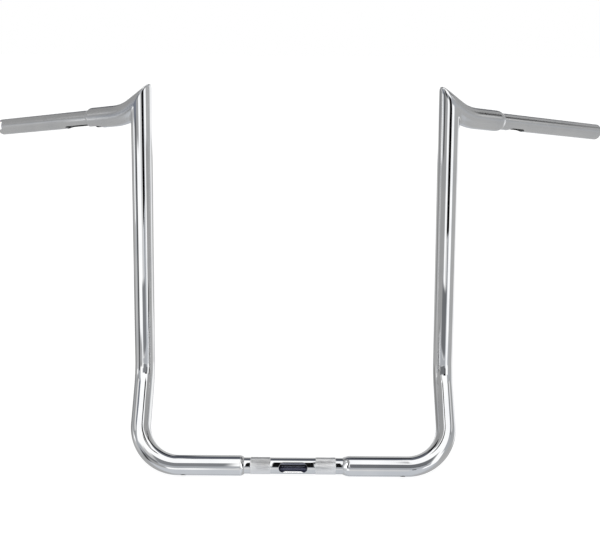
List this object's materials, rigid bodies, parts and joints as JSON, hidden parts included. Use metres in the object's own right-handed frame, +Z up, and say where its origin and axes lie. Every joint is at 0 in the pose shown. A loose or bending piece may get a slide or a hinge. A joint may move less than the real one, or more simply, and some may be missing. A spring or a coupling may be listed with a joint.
{
  "type": "ape hanger handlebar",
  "caption": "Tall pointed motorcycle handlebar of chromed fat tube with slim clamp and control ends, knurled clamp bands and slots for hidden wiring.",
  "frame": {"origin": "middle of the clamp tube's axis, halfway between the knurled bands", "axes": "+X along the clamp tube to the rider's left, +Y back towards the rider, +Z up in the plane of the uprights"},
  "size_m": [1.017, 0.2993, 0.5951],
  "materials": {
    "chrome_plate": "polished chrome plate on steel tube"
  },
  "bodies": {
    "root": {"clamp_tube": "chrome_plate", "left_upright": "chrome_plate", "right_upright": "chrome_plate", "left_arm": "chrome_plate", "right_arm": "chrome_plate", "left_control_end": "chrome_plate", "right_control_end": "chrome_plate"}
  },
  "joints": []
}
